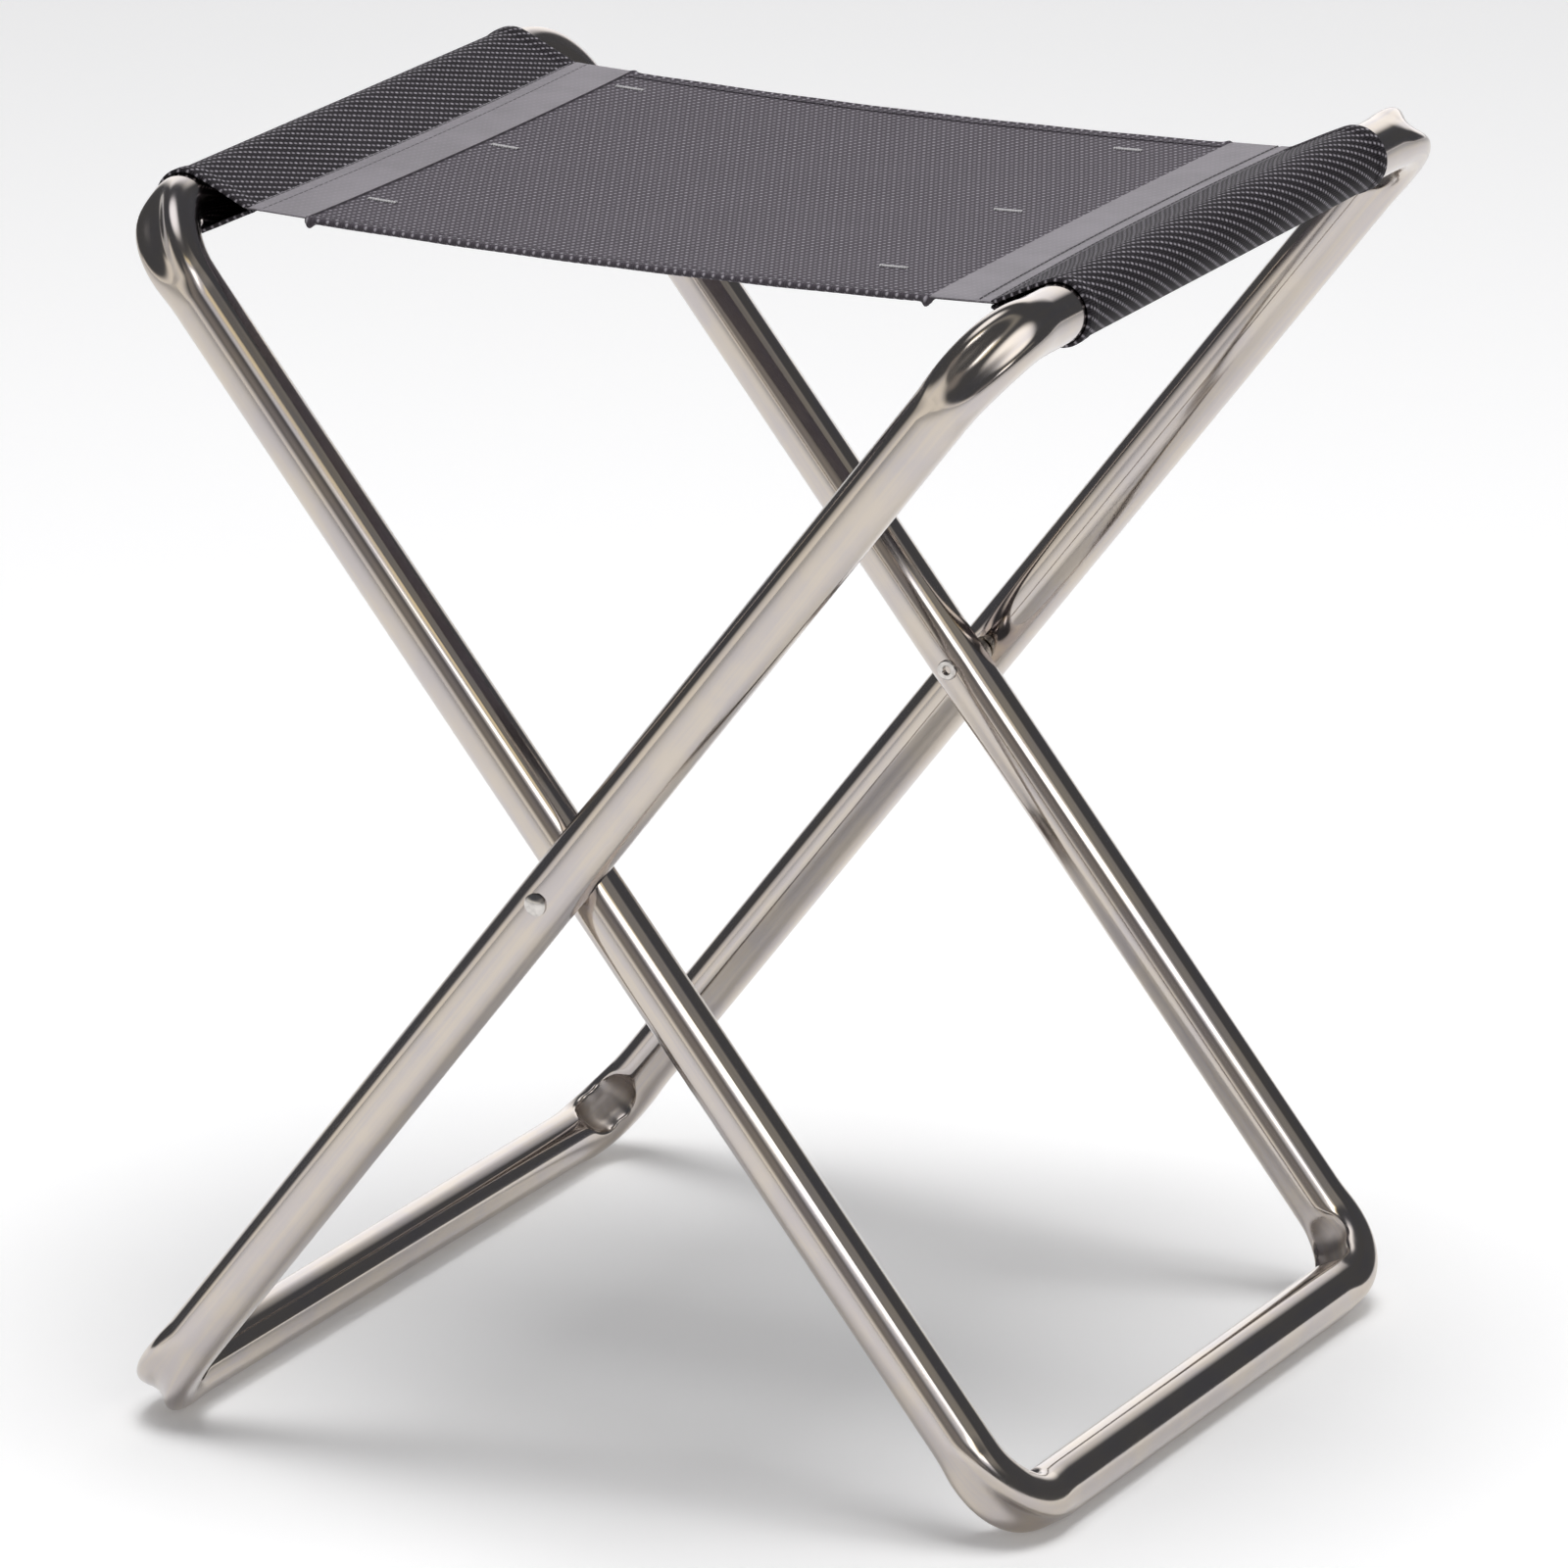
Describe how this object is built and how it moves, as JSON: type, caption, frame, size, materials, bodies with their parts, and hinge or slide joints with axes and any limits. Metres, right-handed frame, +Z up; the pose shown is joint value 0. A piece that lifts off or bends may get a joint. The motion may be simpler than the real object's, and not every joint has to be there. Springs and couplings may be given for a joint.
{
  "type": "camp stool",
  "caption": "Folding camp stool: two crossed rectangular tube frames on rivet pivots, with a sling seat of woven cloth between their top bars.",
  "frame": {"origin": "on the floor, under the middle of the stool as it stands open", "axes": "+Z up; the bars and the pivot axis run along Y; the outer frame's top bar is on the +X side"},
  "size_m": [0.38, 0.3826, 0.4688],
  "materials": {
    "polished_tube": "mirror polished",
    "plain_aluminium": "mill finish",
    "rivet_steel": "bright plated",
    "spacer_metal": "turned, bright",
    "seat_cloth": "coarse weave of charcoal yarn with light flecks",
    "seam_tape": "smooth woven tape",
    "tack_thread": "dense stitching",
    "dark_thread": "twisted thread"
  },
  "bodies": {
    "outer_frame": {"outer_frame_tube": "polished_tube", "outer_frame_spigot": "plain_aluminium", "pivot_rivets": "rivet_steel", "pivot_spacers": "spacer_metal"},
    "inner_frame": {"inner_frame_tube": "polished_tube", "inner_frame_spigot": "plain_aluminium"},
    "seat_half_right": {"bar_sleeve_right": "seat_cloth", "seat_panel_right": "seat_cloth", "front_hem_right": "seat_cloth", "back_hem_right": "seat_cloth", "seam_tape_right": "seam_tape", "sleeve_flap_right": "seat_cloth", "tacks_right": "tack_thread", "stitching_right": "dark_thread"},
    "seat_half_left": {"bar_sleeve_left": "seat_cloth", "seat_panel_left": "seat_cloth", "front_hem_left": "seat_cloth", "back_hem_left": "seat_cloth", "seam_tape_left": "seam_tape", "sleeve_flap_left": "seat_cloth", "tacks_left": "tack_thread", "stitching_left": "dark_thread"}
  },
  "joints": [
    {"name": "fold", "type": "hinge", "parent": "outer_frame", "child": "inner_frame", "pos_m": [0, 0, 0.23125], "axis": [0, 1, 0], "range_deg": [0, 71.12]},
    {"name": "seat_turn_right", "type": "hinge", "parent": "outer_frame", "child": "seat_half_right", "pos_m": [0.17815, 0, 0.45716], "axis": [0, 1, 0], "range_deg": [-48.96, 0], "deforming": ["seat_panel_right", "front_hem_right", "back_hem_right", "stitching_right"]},
    {"name": "seat_turn_left", "type": "hinge", "parent": "inner_frame", "child": "seat_half_left", "pos_m": [-0.17815, 0, 0.45716], "axis": [0, 1, 0], "range_deg": [0, 48.96], "deforming": ["seat_panel_left", "front_hem_left", "back_hem_left", "stitching_left"]}
  ],
  "couplings": [
    {"joint": "seat_turn_right", "follows": "fold", "ratio": -0.68832},
    {"joint": "seat_turn_left", "follows": "fold", "ratio": 0.68832}
  ]
}
